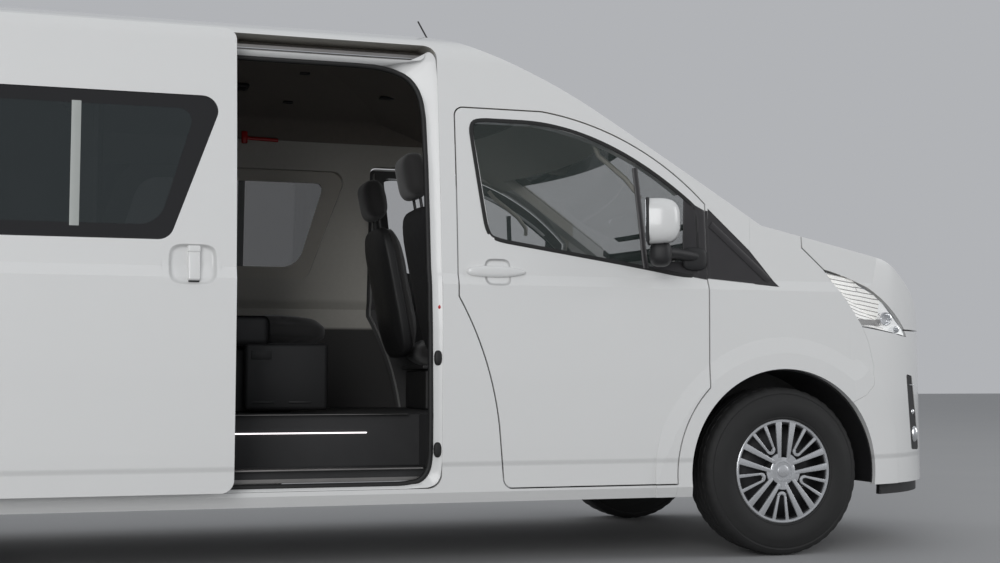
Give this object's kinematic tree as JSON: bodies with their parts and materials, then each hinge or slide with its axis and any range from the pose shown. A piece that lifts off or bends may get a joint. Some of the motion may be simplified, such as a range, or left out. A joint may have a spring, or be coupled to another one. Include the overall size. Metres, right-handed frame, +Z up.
{
  "type": "passenger van",
  "caption": "High-roof passenger van with a sliding side door standing open, hinged front doors, bonnet and tailgate, steered front wheels and rows of seats.",
  "frame": {"origin": "on the ground, at the centre of the body's overall box", "axes": "+X forward, +Y to the van's left, +Z up"},
  "size_m": [5.915, 2.356, 2.3163],
  "materials": {
    "black_plastic": "fine-grained matt black plastic",
    "bright_steel": "dull bare steel",
    "clear_glass": "clear glass with a slight green tint",
    "dark_steel": "satin black painted steel",
    "dash_plastic": "dark grey grained plastic",
    "floor_covering": "dark grey ribbed floor covering",
    "gloss_black": "glossy black plastic",
    "headliner_fabric": "dark grey felted lining",
    "iron": "rough cast grey metal",
    "lamp_chrome": "bright reflector finish",
    "lamp_clear": "clear lamp lens",
    "lamp_red": "glossy red lamp lens",
    "rubber": "matt black rubber",
    "seat_fabric": "dark grey woven seat cloth",
    "silver_cover": "satin silver paint",
    "tinted_glass": "dark tinted glass",
    "tyre": "black tyre rubber",
    "white_paint": "smooth glossy white paint"
  },
  "bodies": {
    "van": {"antenna": "black_plastic", "body_shell": "white_paint", "corner_panes": "gloss_black", "dashboard": "dash_plastic", "door_seal": "rubber", "engine": "iron", "exhaust": "bright_steel", "floor_pan": "floor_covering", "front_bumper": "white_paint", "front_fenders": "white_paint", "front_seats": "seat_fabric", "front_suspension": "dark_steel", "front_valance": "black_plastic", "fuel_tank": "dark_steel", "headlamp_housings": "lamp_chrome", "headlamp_lenses": "lamp_clear", "headliner": "headliner_fabric", "nose_grilles": "black_plastic", "passenger_seats": "seat_fabric", "rear_axle": "iron", "rear_bumper": "white_paint", "scuttle": "black_plastic", "seat_bases": "dash_plastic", "side_windows": "tinted_glass", "sliding_door": "white_paint", "sliding_door_glass": "tinted_glass", "sliding_door_rails": "bright_steel", "tail_lamps": "lamp_red", "underbody_frame": "dark_steel", "wheel_liners": "black_plastic", "windscreen": "clear_glass", "wipers": "black_plastic"},
    "door_right": {"door_right": "white_paint", "door_glass_right": "clear_glass", "mirror_right": "gloss_black"},
    "door_left": {"door_left": "white_paint", "door_glass_left": "clear_glass", "mirror_left": "gloss_black"},
    "bonnet": {"bonnet": "white_paint"},
    "tailgate": {"tailgate": "white_paint", "tailgate_glass": "tinted_glass"},
    "fuel_flap": {"fuel_flap": "white_paint"},
    "steering_wheel": {"steering_wheel": "dash_plastic"},
    "knuckle_left": {"knuckle_left": "iron"},
    "knuckle_right": {"knuckle_right": "iron"},
    "wheel_front_left": {"tyre_front_left": "tyre", "wheel_front_left": "silver_cover"},
    "wheel_front_right": {"tyre_front_right": "tyre", "wheel_front_right": "silver_cover"},
    "wheel_rear_left": {"tyre_rear_left": "tyre", "wheel_rear_left": "silver_cover"},
    "wheel_rear_right": {"tyre_rear_right": "tyre", "wheel_rear_right": "silver_cover"}
  },
  "joints": [
    {"name": "door_right_hinge", "type": "hinge", "parent": "van", "child": "door_right", "pos_m": [1.63, -0.97, 0.56], "axis": [0, 0, 1], "range_deg": [0, 65]},
    {"name": "door_left_hinge", "type": "hinge", "parent": "van", "child": "door_left", "pos_m": [1.63, 0.97, 0.56], "axis": [0, 0, -1], "range_deg": [0, 65]},
    {"name": "bonnet_hinge", "type": "hinge", "parent": "van", "child": "bonnet", "pos_m": [2.066, 0, 1.385], "axis": [0, -1, 0], "range_deg": [0, 50]},
    {"name": "tailgate_hinge", "type": "hinge", "parent": "van", "child": "tailgate", "pos_m": [-2.853, 0, 2.086], "axis": [0, 1, 0], "range_deg": [0, 85]},
    {"name": "fuel_flap_hinge", "type": "hinge", "parent": "van", "child": "fuel_flap", "pos_m": [-1.13, 0.966, 1.03], "axis": [0, 0, -1], "range_deg": [0, 100]},
    {"name": "steer_left", "type": "hinge", "parent": "van", "child": "knuckle_left", "pos_m": [1.9425, 0.765, 0.356], "axis": [0, 0, 1], "range_deg": [-33, 33]},
    {"name": "steer_right", "type": "hinge", "parent": "van", "child": "knuckle_right", "pos_m": [1.9425, -0.765, 0.356], "axis": [0, 0, 1], "range_deg": [-33, 33]},
    {"name": "steering_wheel_turn", "type": "hinge", "parent": "van", "child": "steering_wheel", "pos_m": [1.29, 0.43, 1.165], "axis": [-0.848, 0, 0.5299], "range_deg": [-500, 500]},
    {"name": "wheel_front_left_spin", "type": "hinge", "parent": "knuckle_left", "child": "wheel_front_left", "pos_m": [1.9425, 0.8375, 0.356], "axis": [0, 1, 0], "continuous": true},
    {"name": "wheel_front_right_spin", "type": "hinge", "parent": "knuckle_right", "child": "wheel_front_right", "pos_m": [1.9425, -0.8375, 0.356], "axis": [0, 1, 0], "continuous": true},
    {"name": "wheel_rear_left_spin", "type": "hinge", "parent": "van", "child": "wheel_rear_left", "pos_m": [-1.9175, 0.8375, 0.356], "axis": [0, 1, 0], "continuous": true},
    {"name": "wheel_rear_right_spin", "type": "hinge", "parent": "van", "child": "wheel_rear_right", "pos_m": [-1.9175, -0.8375, 0.356], "axis": [0, 1, 0], "continuous": true}
  ],
  "couplings": [
    {"joint": "steer_right", "follows": "steer_left", "ratio": 1},
    {"joint": "steering_wheel_turn", "follows": "steer_left", "ratio": 15}
  ]
}
